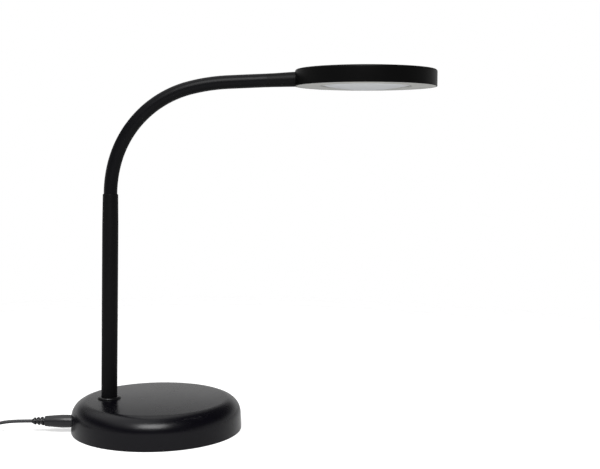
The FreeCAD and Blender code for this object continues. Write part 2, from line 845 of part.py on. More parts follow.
# Switch on its board, and the key above it
switch_board = box(switch_board_length, switch_board_width, switch_board_thickness, key_x, 0, switch_board_z)
for side in (-1, 1):
    y = side * board_boss_offset
    switch_board = switch_board.cut(
        rod(board_pin_radius + fastener_play, switch_board_thickness, at(key_x, y, switch_board_z))
    )
save("switch_board", in_head(switch_board))
push_switch = box(switch_size, switch_size, switch_height, key_x, 0, switch_board_top)
plunger_bottom = switch_board_top + switch_height
plunger_top = plunger_bottom + plunger_height
push_switch = push_switch.fuse(rod(plunger_radius, plunger_height, at(key_x, 0, plunger_bottom)))
save("push_switch", in_head(push_switch))

key_top = head_thickness + key_proud
flange_top = head_inner_top - key_gap
stem_bottom = plunger_top + key_stem_gap
switch_key = spun(
    (0, stem_bottom),
    (key_stem_radius, stem_bottom),
    (key_stem_radius, flange_top - key_flange_thickness),
    (key_flange_radius, flange_top - key_flange_thickness),
    (key_flange_radius, flange_top),
    (key_radius, flange_top),
    (key_radius, key_top - key_edge),
    quarter((key_radius - key_edge, key_top - key_edge), key_edge, 0, 90),
    dome_through(key_radius - key_edge, key_top, key_dish),
)
save("switch_key", in_head(moved(switch_key, key_x, 0, 0)))

# Leads in the head: round the rim from the ferrule to the switch board, and on to the LED board
channel_radius = (heat_plate_radius + ring_peg_circle - peg_boss_radius) / 2
spigot_mouth = ferrule_origin.placement().multVec(at(0, 0, ferrule_reach + spigot_length))
round_the_rim = [on_circle(channel_radius, angle) for angle in rim_lead_angles]
board_middle_z = switch_board_z + switch_board_thickness / 2
board_side = at(key_x - 4.0, -switch_board_width / 2, board_middle_z)
head_lead_points = [
    spigot_mouth,
    spigot_mouth + at(5.0, 0.0, 0.2),
    spigot_mouth + at(9.2, -3.6, 0.8),
    *[at(x, y, rim_lead_height) for x, y in round_the_rim],
    board_side + at(0.0, -8.0, 0.0),
    board_side,
]
head_lead, head_lead_path, head_lead_radii = lead_tube(head_lead_points, inner_lead_diameter)
report_tube("head_lead", head_lead, head_lead_path, head_lead_radii, inner_lead_diameter)
save("head_lead", in_head(head_lead))
board_edge = at(key_x - switch_board_length / 2, 0, board_middle_z)
led_board_edge = at(led_board_radius, 0, led_board_bottom + led_board_thickness / 2)
led_lead_points = [board_edge, board_edge + at(-3.5, 0, 0), led_board_edge + at(3.5, 0, 0), led_board_edge]
led_lead, led_lead_path, led_lead_radii = lead_tube(led_lead_points, led_lead_diameter)
report_tube("led_lead", led_lead, led_lead_path, led_lead_radii, led_lead_diameter)
save("led_lead", in_head(led_lead))

# Plug: a moulded grip, fuller in the middle, with a tapering row of ribs behind it
plug_front = pocket_x - plug_gap
ribs = []
rib_z = plug_length
for radius in rib_radii:
    rib_z += rib_pitch - rib_width
    ribs.append((rib_core_radius, rib_z))
    ribs.append((radius - rib_front_drop, rib_z))
    ribs.append((radius, rib_z + rib_width / 2))
    ribs.append((radius - rib_back_drop, rib_z + rib_width))
    ribs.append((rib_core_radius, rib_z + rib_width))
    rib_z += rib_width
plug_end = rib_z + boot_end_length
plug = spun(
    (0, 0),
    (plug_front_radius - plug_edge, 0),
    quarter((plug_front_radius - plug_edge, plug_edge), plug_edge, -90, 0),
    ((plug_belly_radius, plug_belly_place), (plug_back_radius, plug_length - plug_edge)),
    (plug_back_radius - plug_edge, plug_length),
    (rib_core_radius, plug_length),
    *ribs,
    (boot_end_radius, plug_end),
    (0, plug_end),
)


def on_plug(shape):
    """Turns a shape made upright so that it points away from the base, at the socket's height."""
    copy = shape.copy()
    turned = FreeCAD.Placement(at(plug_front, socket_y, socket_z), FreeCAD.Rotation(ALONG_Y, -90))
    copy.Placement = turned.multiply(copy.Placement)
    return copy


save("dc_plug", on_plug(plug))
barrel = rod(barrel_radius, barrel_length, at(0, 0, -barrel_length))
barrel = barrel.cut(rod(barrel_bore_radius, barrel_length, at(0, 0, -barrel_length)))
save("plug_barrel", on_plug(barrel))

# Wall adapter, lying on its side: its case, the lid that carries the pins, and what is inside
adapter_z = adapter_width / 2
case_depth = adapter_depth - adapter_lid_depth


def rounded_box(size_x, size_y, size_z, edge):
    block = box(size_x, size_y, size_z, 0, 0, 0)
    along_x = [e for e in block.Edges if abs(e.tangentAt(e.FirstParameter).x) > 0.9]
    return block.makeFillet(edge, along_x)


def on_adapter(shape):
    return moved(shape, adapter_x, adapter_y + adapter_length / 2, 0)


inner_length = adapter_length - 2 * adapter_wall
inner_width = adapter_width - 2 * adapter_wall
inner_edge_radius = adapter_edge - adapter_wall / 2
case_hollow = rounded_box(case_depth, inner_length, inner_width, inner_edge_radius)
adapter_case = rounded_box(case_depth, adapter_length, adapter_width, adapter_edge)
adapter_case = adapter_case.cut(moved(case_hollow, -adapter_wall, 0, adapter_wall))
hole_start = at(0, -adapter_length / 2 - adapter_wall, adapter_z)
cable_hole = rod(lead_diameter / 2 + fastener_play, 3 * adapter_wall, hole_start, ALONG_Y)
adapter_case = adapter_case.cut(cable_hole)
save("adapter_case", on_adapter(adapter_case))

lid_x = -(case_depth + adapter_lid_depth) / 2
lid_hollow = rounded_box(adapter_lid_depth, inner_length, inner_width, inner_edge_radius)
lid = rounded_box(adapter_lid_depth, adapter_length, adapter_width, adapter_edge)
lid = moved(lid.cut(moved(lid_hollow, adapter_wall, 0, adapter_wall)), lid_x, 0, 0)
pin_y = adapter_length / 2 - adapter_pin_inset
pin_heights = [adapter_z - adapter_pin_spacing / 2, adapter_z + adapter_pin_spacing / 2]
pin_face = lid_x - adapter_lid_depth / 2
pin_round = adapter_pin_radius / 2
pins = []
for height in pin_heights:
    root_start = at(pin_face, pin_y, height)
    lid = lid.cut(rod(adapter_pin_radius + fastener_play, 2 * adapter_wall, root_start, ALONG_X))
    pin = spun(
        (0, -adapter_pin_length),
        (pin_round, -adapter_pin_length),
        quarter((pin_round, pin_round - adapter_pin_length), pin_round, -90, 0),
        (adapter_pin_radius, adapter_pin_root),
        (0, adapter_pin_root),
    )
    turned = FreeCAD.Placement(at(pin_face, pin_y, height), FreeCAD.Rotation(ALONG_Y, 90))
    pin.Placement = turned.multiply(pin.Placement)
    pins.append(on_adapter(pin))
save("adapter_lid", on_adapter(lid))
save("adapter_pins", Part.makeCompound(pins))

board_x = case_depth / 2 - adapter_wall - adapter_board_thickness
adapter_board = box(
    adapter_board_thickness,
    inner_length - 2 * adapter_board_gap,
    inner_width - 2 * adapter_board_gap,
    board_x + adapter_board_thickness / 2, 0, adapter_wall + adapter_board_gap,
)
save("adapter_board", on_adapter(adapter_board))
transformer_x = board_x - transformer_size[0] / 2
transformer = box(*transformer_size, transformer_x, -transformer_shift, adapter_z - transformer_size[2] / 2)
save("adapter_transformer", on_adapter(transformer))

boot = spun(
    (0, 0),
    (adapter_boot_radius, 0),
    (adapter_boot_radius, adapter_boot_length / 4),
    (adapter_boot_tip_radius, adapter_boot_length),
    (0, adapter_boot_length),
)
boot.Placement = FreeCAD.Placement(at(0, -adapter_length / 2, adapter_z), FreeCAD.Rotation(ALONG_X, 90))
save("adapter_boot", on_adapter(boot))

# Coil of the put-away lead: one tube that spirals in and out again, layer on layer
lead_radius = lead_diameter / 2
coil_first_angle = math.radians(coil_start_angle)
coil_base = tie_thickness + tie_gap
half_climb = climb_turns / 2


def coil_point(turns):
    """A point of the coil and its direction there, after so many turns from its outer start."""
    in_layer = turns % (2 * coil_turns_per_layer)
    inward = coil_turns_per_layer - abs(in_layer - coil_turns_per_layer)
    radius = coil_outer_radius - coil_pitch * inward
    reversal = round(turns / coil_turns_per_layer)
    from_reversal = turns - reversal * coil_turns_per_layer
    height = math.floor(turns / coil_turns_per_layer) * coil_rise
    slope_out = 0.0 if abs(from_reversal) < same_place else coil_pitch / (2 * math.pi)
    if in_layer < coil_turns_per_layer:
        slope_out = -slope_out
    climb = 0.0
    if 0 < reversal < coil_layers and abs(from_reversal) < half_climb - same_place:
        height = (reversal - 1 / 2) * coil_rise
        climb = climb_steepness * coil_rise / (2 * math.pi * climb_turns)
    elif 0 < reversal < coil_layers and abs(from_reversal) < half_climb + same_place:
        height = (reversal if from_reversal > 0 else reversal - 1) * coil_rise
    angle = coil_first_angle + 2 * math.pi * turns
    out = at(math.cos(angle), math.sin(angle), 0)
    round_way = at(-math.sin(angle), math.cos(angle), 0)
    point = at(coil_x, coil_y, coil_base + lead_radius + height) + out * radius
    return point, (out * slope_out + round_way * radius + ALONG_Z * climb).normalize()


def arc_between(start, tip, end):
    """The arc that leaves start and reaches end along the lines through tip."""
    chord_middle = (start + end) * 0.5
    half_chord = (end - start).Length / 2
    rise = tip - chord_middle
    if rise.Length < same_place:
        return Part.makeLine(start, end)
    half_turn = math.atan2(rise.Length, half_chord)
    middle = chord_middle + rise.normalize() * (half_chord * math.tan(half_turn / 2))
    return Part.Arc(start, middle, end).toShape()


def two_arcs(start, start_way, end, end_way):
    """Two arcs that meet smoothly and leave and reach the ends in the given directions."""
    gap = end - start
    ways = start_way + end_way
    bend = 2 * (1 - start_way.dot(end_way))
    along = gap.dot(ways)
    reach = (-along + math.sqrt(along * along + bend * gap.dot(gap))) / bend
    start_tip = start + start_way * reach
    end_tip = end - end_way * reach
    meet = (start_tip + end_tip) * 0.5
    return [arc_between(start, start_tip, meet), arc_between(meet, end_tip, end)]


coil_steps = round(coil_turns * coil_steps_per_turn)
stations = [coil_point(step / coil_steps_per_turn) for step in range(coil_steps + 1)]
coil_start, start_way = stations[0]
coil_end, end_way = stations[-1]
coil_edges = [Part.makeLine(coil_start - start_way * lead_diameter, coil_start)]
for (point, way), (next_point, next_way) in zip(stations, stations[1:]):
    coil_edges += two_arcs(point, way, next_point, next_way)
coil_edges.append(Part.makeLine(coil_end, coil_end + end_way * lead_diameter))
coil_path = Part.Wire(coil_edges)
coil_section = Part.Wire(Part.makeCircle(lead_radius, coil_start - start_way * lead_diameter, start_way))
lead_coil = coil_path.makePipeShell([coil_section], True, False)
save("lead_coil", lead_coil)

# Least gap of the coil to itself, measured on points along its middle line
samples = []
for piece in coil_path.OrderedEdges:
    for share in (0.0, 0.25, 0.5, 0.75):
        parameter = piece.FirstParameter + share * (piece.LastParameter - piece.FirstParameter)
        samples.append(piece.valueAt(parameter))
walked = [0.0]
for before, after in zip(samples, samples[1:]):
    walked.append(walked[-1] + after.distanceToPoint(before))
least_gap = min(
    first.distanceToPoint(second) - lead_diameter
    for i, first in enumerate(samples)
    for j, second in enumerate(samples[:i])
    if walked[i] - walked[j] > 6 * lead_diameter
)
coil_plain_volume = math.pi * lead_radius ** 2 * coil_path.Length
print("coil length", round(coil_path.Length, 1), "least gap to itself", round(least_gap, 2))
print("coil volume over section x length", round(lead_coil.Volume / coil_plain_volume, 4))

# Lead from the plug to the coil: level out of the plug, then down to the table
plug_exit = at(plug_front - plug_end, socket_y, socket_z)
coil_entry = coil_start - start_way * lead_diameter
run_points = [
    plug_exit,
    at(-122.0, socket_y, socket_z),
    at(-138.0, -17.0, 8.2),
    at(-155.0, -19.0, 3.0),
    at(-172.0, -18.4, lead_radius),
    coil_entry + start_way * -13.0,
    coil_entry,
]
lead_run, lead_run_path, lead_run_radii = lead_tube(run_points, lead_diameter)
report_tube("lead_run", lead_run, lead_run_path, lead_run_radii, lead_diameter)
save("lead_run", lead_run)

# Lead from the coil to the adapter
coil_exit = coil_end + end_way * lead_diameter
adapter_entry = at(adapter_x, adapter_y - adapter_boot_length, adapter_z)
tail_points = [
    coil_exit,
    coil_exit + end_way * 12.0,
    adapter_entry + at(0.0, -11.0, 0.0),
    adapter_entry,
]
lead_tail, lead_tail_path, lead_tail_radii = lead_tube(tail_points, lead_diameter)
report_tube("lead_tail", lead_tail, lead_tail_path, lead_tail_radii, lead_diameter)
save("lead_tail", lead_tail)
print("whole lead", round(lead_run_path.Length + coil_path.Length + lead_tail_path.Length, 1))

# Tie: a flat band round one side of the coil
coil_hole_radius = coil_outer_radius - coil_pitch * coil_turns_per_layer - lead_radius
band_inside = math.sqrt(coil_hole_radius ** 2 - (tie_width / 2) ** 2) - tie_gap
band_outside = coil_outer_radius + lead_radius + tie_gap
band_height = lead_diameter + coil_rise * (coil_layers - 1) + 2 * tie_gap
band_middle = (band_inside + band_outside) / 2
band_span = band_outside - band_inside
band = box(band_span + 2 * tie_thickness, tie_width, band_height + 2 * tie_thickness, band_middle, 0, 0)
band = band.cut(box(band_span, tie_width, band_height, band_middle, 0, tie_thickness))
band.Placement = FreeCAD.Placement(at(coil_x, coil_y, 0), FreeCAD.Rotation(ALONG_Z, tie_angle))
save("coil_tie", band)

# Where the joints are, for the record
for number, pivot in enumerate(pivots):
    place = [round(c / 1000, 5) for c in pivot.point]
    print("pivot", number, place, "angle", round(math.degrees(pivot.angle), 3))
print("head middle", round(head_x, 3), round(head_z, 3), "link", round(link_length, 2))
print("plug exit", [round(c, 2) for c in plug_exit], "coil entry", [round(c, 2) for c in coil_entry])
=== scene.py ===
import json
import math

import bmesh
import bpy
from mathutils import Matrix, Vector


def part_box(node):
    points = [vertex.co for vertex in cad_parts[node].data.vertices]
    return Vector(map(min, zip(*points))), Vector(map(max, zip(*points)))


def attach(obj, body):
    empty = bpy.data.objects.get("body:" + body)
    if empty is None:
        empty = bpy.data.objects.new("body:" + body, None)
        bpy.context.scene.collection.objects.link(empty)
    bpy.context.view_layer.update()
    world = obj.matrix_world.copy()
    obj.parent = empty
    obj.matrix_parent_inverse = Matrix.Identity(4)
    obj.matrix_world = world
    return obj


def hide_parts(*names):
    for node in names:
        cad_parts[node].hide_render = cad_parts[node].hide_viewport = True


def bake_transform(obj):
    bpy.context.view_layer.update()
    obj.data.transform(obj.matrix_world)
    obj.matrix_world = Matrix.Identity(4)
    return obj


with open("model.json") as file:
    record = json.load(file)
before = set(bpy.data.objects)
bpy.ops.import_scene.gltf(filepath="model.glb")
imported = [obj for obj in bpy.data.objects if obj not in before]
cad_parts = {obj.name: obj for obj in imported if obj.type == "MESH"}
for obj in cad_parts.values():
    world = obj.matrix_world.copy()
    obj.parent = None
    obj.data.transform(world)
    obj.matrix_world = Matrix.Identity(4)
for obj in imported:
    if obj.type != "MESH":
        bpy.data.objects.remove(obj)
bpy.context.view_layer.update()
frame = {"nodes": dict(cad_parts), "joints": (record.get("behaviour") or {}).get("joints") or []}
nodes = frame["nodes"]
mm = 0.001


# Foam pad, base plate and screws
# The lamp stands on a thin foam disc, stuck to a painted sheet steel plate that closes the base.
# Four countersunk screws hold the plate, and the foam hides their heads.
class Value:
    """A number made by a node. Sums on it add Math nodes."""

    def __init__(self, finish, socket):
        self.finish = finish
        self.socket = socket

    def sum(self, operation, first, second):
        return self.finish.node("ShaderNodeMath", {"operation": operation}, {0: first, 1: second})

    def __add__(self, other):
        return self.sum("ADD", self, other)

    def __sub__(self, other):
        return self.sum("SUBTRACT", self, other)

    def __rsub__(self, other):
        return self.sum("SUBTRACT", other, self)

    def __mul__(self, other):
        return self.sum("MULTIPLY", self, other)

    __radd__ = __add__
    __rmul__ = __mul__


class Finish:
    """A material: a Principled shader with its fixed values, and the nodes that vary over the surface."""

    def __init__(self, name, fixed):
        self.material = bpy.data.materials.new(name)
        self.material.use_nodes = True
        self.tree = self.material.node_tree
        self.shader = self.tree.nodes["Principled BSDF"]
        for socket, value in fixed.items():
            self.shader.inputs[socket].default_value = value
        self.place = self.node("ShaderNodeTexCoord", {}, {}, "Object")

    def node(self, kind, settings, sockets, output=0):
        """A node of this kind: its settings first, then the values or links of its sockets."""
        made = self.tree.nodes.new(kind)
        for setting, value in settings.items():
            setattr(made, setting, value)
        for socket, value in sockets.items():
            if isinstance(value, Value):
                self.tree.links.new(value.socket, made.inputs[socket])
            else:
                made.inputs[socket].default_value = value
        return Value(self, made.outputs[output])

    def noise(self, size, detail=2.0, stretch=(1.0, 1.0, 1.0)):
        """Cloudy values from 0 to 1 in spots of about this size."""
        place = self.node("ShaderNodeMapping", {}, {"Vector": self.place, "Scale": stretch})
        return self.node("ShaderNodeTexNoise", {}, {"Vector": place, "Scale": 1 / size, "Detail": detail})

    def cells(self, size):
        """The distance from the middle of round cells of about this size."""
        return self.node("ShaderNodeTexVoronoi", {}, {"Vector": self.place, "Scale": 1 / size})

    def stepped(self, value, low, high):
        """The value spread so that low becomes 0 and high becomes 1."""
        return self.node("ShaderNodeMapRange", {}, {"Value": value, "From Min": low, "From Max": high})

    def mixed(self, share, first, second):
        """A colour between two."""
        colours = {0: share, 6: (*first, 1.0), 7: (*second, 1.0)}
        return self.node("ShaderNodeMix", {"data_type": "RGBA"}, colours, 2)

    def varies(self, socket, value):
        """Lets this value vary the shader's socket over the surface."""
        self.tree.links.new(value.socket, self.shader.inputs[socket])

    def bumped(self, height, depth):
        """Relief of this depth in metres where height goes from 0 to 1."""
        self.varies("Normal", self.node("ShaderNodeBump", {}, {"Height": height, "Distance": depth}, 0))


def cover(piece, finish):
    """Gives a piece one material."""
    piece.data.materials.clear()
    piece.data.materials.append(finish.material)


foam = Finish("black_foam", {"Specular IOR Level": 0.15})
foam_cells = foam.cells(0.7 * mm)
foam.varies("Base Color", foam.mixed(foam_cells, (0.018, 0.018, 0.019), (0.05, 0.05, 0.052)))
foam.varies("Roughness", 0.85 + 0.1 * foam_cells)
foam.bumped(foam_cells, 0.15 * mm)
cover(nodes["base_pad"], foam)


def painted(name, colour, spots, roughness):
    """Sprayed paint with a fine orange peel."""
    finish = Finish(name, {"Specular IOR Level": 0.3})
    peel = finish.noise(spots, 3.0)
    cloud = finish.noise(22 * mm)
    finish.varies("Base Color", finish.mixed(cloud, colour, [1.35 * part for part in colour]))
    finish.varies("Roughness", roughness + 0.12 * cloud)
    finish.bumped(peel, 0.03 * mm)
    return finish


cover(nodes["base_plate"], painted("plate_paint", (0.02, 0.02, 0.021), 0.5 * mm, 0.45))


def metal(name, colour, roughness, grain=(1.0, 1.0, 1.0)):
    """Bare or plated metal with fine tool marks along its grain."""
    finish = Finish(name, {"Metallic": 1.0})
    marks = finish.noise(0.4 * mm, 4.0, grain)
    cloud = finish.noise(6 * mm)
    finish.varies("Base Color", finish.mixed(cloud, [0.82 * part for part in colour], colour))
    finish.varies("Roughness", roughness + 0.15 * marks)
    finish.bumped(marks, 0.01 * mm)
    return finish


zinc = metal("zinc_plate", (0.56, 0.57, 0.58), 0.3)
for node in ("plate_screws", "weight_screws", "post_stud", "post_washer", "post_nut", "ferrule_clip",
             "heat_plate_screws"):
    cover(nodes[node], zinc)

# Cast weight
# A grey iron disc that keeps the lamp upright. It is cast with a flat on one side, which leaves room
# for the foot of the post, and it is screwed up into the shell.
iron = Finish("cast_iron", {"Metallic": 0.7})
sand = iron.noise(1.1 * mm, 5.0)
rust = iron.stepped(iron.noise(14 * mm, 4.0), 0.6, 0.75)
iron.varies("Base Color", iron.mixed(rust, (0.09, 0.09, 0.095), (0.16, 0.075, 0.04)))
iron.varies("Roughness", 0.55 + 0.25 * sand)
iron.bumped(sand, 0.25 * mm)
cover(nodes["base_weight"], iron)


# Base shell
# A black moulding, turned in form: a flat top, a wide round shoulder and a slightly drafted wall.
# A round pocket in the wall takes the plug.
arc_steps = 10
turn_steps = 160


def rounded(corners):
    """The points of an outline. A corner's third number is the radius that rounds it."""
    points = []
    for before, corner, after in zip(corners[-1:] + corners[:-1], corners, corners[1:] + corners[:1]):
        here = Vector(corner[:2])
        if len(corner) < 3:
            points.append(here)
            continue
        back = (Vector(before[:2]) - here).normalized()
        ahead = (Vector(after[:2]) - here).normalized()
        half = back.angle(ahead) / 2
        center = here + (back + ahead).normalized() * (corner[2] / math.sin(half))
        spoke = here + back * (corner[2] / math.tan(half)) - center
        swing = math.copysign(math.pi - 2 * half, ahead.cross(back))
        for step in range(arc_steps + 1):
            points.append(center + Matrix.Rotation(swing * step / arc_steps, 2) @ spoke)
    return points


def made(name, mesh, sharp=35.0):
    """An object from a bmesh, smooth apart from its edges over so many degrees."""
    bmesh.ops.remove_doubles(mesh, verts=mesh.verts, dist=0.001 * mm)
    bmesh.ops.dissolve_degenerate(mesh, edges=mesh.edges, dist=0.0001 * mm)
    bmesh.ops.recalc_face_normals(mesh, faces=mesh.faces)
    data = bpy.data.meshes.new(name)
    mesh.to_mesh(data)
    mesh.free()
    piece = bpy.data.objects.new(name, data)
    bpy.context.scene.collection.objects.link(piece)
    smooth(piece, sharp)
    return piece


def turned(corners, steps=turn_steps):
    """A bmesh turned round the Z axis from the outline through (radius, height) corners."""
    mesh = bmesh.new()
    outline = [mesh.verts.new((radius, 0, height)) for radius, height in rounded(corners)]
    ends = outline + outline[:1] if corners[0][0] > 0 or corners[-1][0] > 0 else outline
    edges = [mesh.edges.new(pair) for pair in zip(ends, ends[1:])]
    bmesh.ops.spin(
        mesh, geom=outline + edges, cent=(0, 0, 0), axis=(0, 0, 1), angle=2 * math.pi, steps=steps,
        use_merge=True
    )
    return mesh


def smooth(piece, sharp=35.0):
    """Shades a piece smooth apart from its edges over so many degrees."""
    piece.data.shade_smooth()
    piece.data.set_sharp_from_angle(angle=math.radians(sharp))


def combine(piece, tool, operation):
    """Cuts the tool out of the piece, or joins or intersects them, and removes the tool."""
    change = piece.modifiers.new(operation, "BOOLEAN")
    change.operation = operation
    change.solver = "EXACT"
    change.object = tool
    bpy.context.view_layer.update()
    result = bpy.data.meshes.new_from_object(piece.evaluated_get(bpy.context.evaluated_depsgraph_get()))
    piece.modifiers.clear()
    piece.data = result
    bpy.data.objects.remove(tool)


def rod(name, radius, start, end, steps=64):
    """A plain round bar from one point to another, for cutting and joining."""
    mesh = bmesh.new()
    along = end - start
    place = Matrix.Translation((start + end) / 2) @ along.to_track_quat("Z", "Y").to_matrix().to_4x4()
    bmesh.ops.create_cone(
        mesh, segments=steps, radius1=radius, radius2=radius, depth=along.length, cap_ends=True, matrix=place
    )
    return made(name, mesh)


def moulding(name, colour, roughness, specular, grain=0.5 * mm, relief=0.012 * mm):
    """Moulded plastic: an even colour, a fine spark-eroded grain and a faint cloud of handling marks."""
    finish = Finish(name, {"Specular IOR Level": specular})
    grains = finish.noise(grain, 3.0)
    cloud = finish.noise(35 * mm, 3.0)
    wipes = finish.noise(9 * mm, 4.0, (1.0, 3.0, 1.0))
    finish.varies("Base Color", finish.mixed(cloud, colour, [1.25 * part for part in colour]))
    finish.varies("Roughness", roughness + 0.05 * cloud + 0.04 * wipes)
    finish.bumped(grains, relief)
    return finish


shell_low, shell_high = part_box("base_shell")
base_radius = shell_high.x
base_top = shell_high.z
base_bottom = shell_low.z
base_wall = 2.4 * mm
base_draft = 0.65 * mm
base_shoulder = 13.9 * mm
base_edge = 0.3 * mm
socket_y = -16 * mm
socket_z = 10.3 * mm
pocket_radius = 6.6 * mm
pocket_wall = 1.3 * mm
pocket_depth = 3.2 * mm
pocket_back = 2.2 * mm
nose_radius = 4.05 * mm
stud_hole = 5.3 * mm
collar_low, collar_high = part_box("post_collar")
post_x = (collar_low.x + collar_high.x) / 2


def base_form(inset, bottom):
    """Corners of the base's outer form, or of the form inset inside it."""
    side = base_radius - inset
    return [
        (0.0, bottom),
        (side, bottom, base_edge) if inset == 0 else (side, bottom),
        (side - base_draft, base_top - inset, base_shoulder - inset),
        (0.0, base_top - inset),
    ]


base_cover = made("base_cover", turned(base_form(0, base_bottom)))
combine(base_cover, made("hollow", turned(base_form(base_wall, base_bottom - base_wall))), "DIFFERENCE")
wall_x = -math.sqrt(base_radius ** 2 - socket_y ** 2)
pocket_x = wall_x + pocket_depth
pocket_floor = pocket_x + pocket_back


def socket_rod(name, radius, start, end):
    """A round bar on the line of the plug, from one X to another."""
    return rod(name, radius, Vector((start, socket_y, socket_z)), Vector((end, socket_y, socket_z)))


boss = socket_rod("boss", pocket_radius + pocket_wall, wall_x - base_wall, pocket_floor)
combine(boss, made("form", turned(base_form(0, base_bottom))), "INTERSECT")
combine(base_cover, boss, "UNION")
combine(base_cover, socket_rod("pocket", pocket_radius, wall_x - base_wall, pocket_x), "DIFFERENCE")
combine(base_cover, socket_rod("nose", nose_radius, wall_x, pocket_floor + base_wall), "DIFFERENCE")
stud_way = rod("stud_way", stud_hole, Vector((post_x, 0, base_bottom)),
               Vector((post_x, 0, base_top + base_wall)))
combine(base_cover, stud_way, "DIFFERENCE")
smooth(base_cover)
cover(base_cover, moulding("base_moulding", (0.0014, 0.0012, 0.0026), 0.22, 0.22))
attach(base_cover, "lamp_base")
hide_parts("base_shell")

# Socket
# A small moulded socket that stands behind the pocket, in line with the plug. Its centre pin is
# turned from brass.
cover(nodes["dc_socket"], moulding("socket_moulding", (0.01, 0.01, 0.01), 0.35, 0.4))
cover(nodes["socket_pin"], metal("turned_brass", (0.8, 0.6, 0.3), 0.25, (1.0, 6.0, 6.0)))

# Post
# A drawn steel tube, powder coated a satin black, a little narrower at its mouth. It stands on a
# thin collar and leans one degree, as the weight of the head pulls it over.
post_lean = math.radians(1.0)
post_radius = 7.12 * mm
post_mouth_radius = 6.78 * mm
post_bore = 6.05 * mm
post_height = 184 * mm
post_taper = 28 * mm
post_lift = 0.13 * mm
post_lip = 0.6 * mm
post_bore_edge = 0.15 * mm
post_foot = Vector((post_x, 0, base_top))
post_place = Matrix.Translation(post_foot) @ Matrix.Rotation(post_lean, 4, "Y")
post_mouth = post_place @ Vector((0, 0, post_height))
small_turn_steps = 96

tube = turned([
    (post_bore, post_lift),
    (post_radius, post_lift),
    (post_radius, post_height - post_taper),
    (post_mouth_radius, post_height, post_lip),
    (post_bore, post_height, post_bore_edge),
], small_turn_steps)
tube.transform(post_place)
post = made("post", tube)


def coated(name, specular, roughness):
    """Black powder coat, with its fine pebbled skin and a faint cloud where it lies thicker."""
    finish = Finish(name, {"Specular IOR Level": specular})
    peel = finish.noise(0.45 * mm, 3.0)
    cloud = finish.noise(30 * mm)
    finish.varies("Base Color", finish.mixed(cloud, (0.0022, 0.0022, 0.0025), (0.0034, 0.0034, 0.0038)))
    finish.varies("Roughness", roughness + 0.08 * cloud + 0.05 * peel)
    finish.bumped(peel, 0.02 * mm)
    return finish


powder = coated("powder_coat", 0.09, 0.4)
cover(post, powder)
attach(post, "lamp_base")
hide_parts("post_tube")

collar_radius = 10.3 * mm
collar_bore = 7.25 * mm
collar_height = 1.5 * mm
collar_round = 1.2 * mm
collar_bore_edge = 0.2 * mm
ring = turned([
    (collar_bore, base_top),
    (collar_radius, base_top),
    (collar_radius, base_top + collar_height, collar_round),
    (collar_bore, base_top + collar_height, collar_bore_edge),
], small_turn_steps)
ring.transform(Matrix.Translation((post_x, 0, 0)))
collar = made("foot_collar", ring)
cover(collar, coated("collar_gloss", 0.3, 0.24))
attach(collar, "lamp_base")
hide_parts("post_collar")

# Gooseneck
# A steel coil that stays where it is bent, in a smooth sleeve of matt black rubber. Each length of
# sleeve bends over one joint of the neck and meets the next in the middle of a link.
neck_radius = 6 * mm
sleeve_tuck = 6 * mm
ferrule_tuck = 8 * mm
half_rings = 7
first_rings = 6
sleeve_sides = 48
link_reach = 8.3 * mm
end_reach = 6.5 * mm
neck_joints = [joint for joint in frame["joints"] if joint["type"] == "hinge"]
hinges = [Vector(joint["pos_m"]) for joint in neck_joints]
neck_bodies = ["lamp_base"] + [joint["child"] for joint in neck_joints]
head_low, head_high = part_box("head_shell")
head_radius = (head_high.x - head_low.x) / 2
head_middle = Vector(((head_low.x + head_high.x) / 2, 0, head_low.z))
ferrule_height = 6.1 * mm
neck_end = Vector((head_low.x, 0, head_middle.z + ferrule_height))
neck_places = [post_mouth, *hinges, neck_end]
nearly_straight = 1e-6


class Bend:
    """A stretch of the neck's middle line as one arc in the XZ plane, from one place to the next."""

    def __init__(self, start, end, heading):
        chord = end - start
        self.start = start
        self.heading = heading
        self.turn = 2 * (math.atan2(chord.x, chord.z) - heading)
        half = self.turn / 2
        self.length = chord.length
        if abs(half) > nearly_straight:
            self.length *= half / math.sin(half)

    def at(self, share):
        """The place and heading at this share of the arc, as a matrix."""
        turned_by = self.turn * share
        chord = self.length * share
        if abs(turned_by) > nearly_straight:
            chord *= math.sin(turned_by / 2) / (turned_by / 2)
        way = self.heading + turned_by / 2
        point = self.start + Vector((math.sin(way), 0, math.cos(way))) * chord
        return Matrix.Translation(point) @ Matrix.Rotation(self.heading + turned_by, 4, "Y")


bends = []
heading = post_lean
for start, end in zip(neck_places, neck_places[1:]):
    bends.append(Bend(start, end, heading))
    heading += bends[-1].turn

rubber = Finish("sleeve_rubber", {"Specular IOR Level": 0.1})
rubber_grain = rubber.noise(0.35 * mm, 3.0)
rubber_cloud = rubber.noise(12 * mm, 3.0)
rubber.varies("Base Color", rubber.mixed(rubber_cloud, (0.0019, 0.0019, 0.0026), (0.0028, 0.0028, 0.0037)))
rubber.varies("Roughness", 0.34 + 0.08 * rubber_cloud)
rubber.bumped(rubber_grain, 0.02 * mm)


def sleeve(name, stations):
    """A closed tube of the neck's radius through a row of places."""
    mesh = bmesh.new()
    first = bmesh.ops.create_circle(
        mesh, segments=sleeve_sides, radius=neck_radius, cap_ends=True, matrix=stations[0]
    )
    rim = {edge for vert in first["verts"] for edge in vert.link_edges}
    for before, after in zip(stations, stations[1:]):
        grown = bmesh.ops.extrude_edge_only(mesh, edges=list(rim))["geom"]
        rim_verts = [part for part in grown if isinstance(part, bmesh.types.BMVert)]
        rim = {
            part for part in grown
            if isinstance(part, bmesh.types.BMEdge) and all(vert in rim_verts for vert in part.verts)
        }
        bmesh.ops.transform(mesh, matrix=after @ before.inverted(), verts=rim_verts)
    bmesh.ops.holes_fill(mesh, edges=list(rim), sides=sleeve_sides)
    return made(name, mesh)


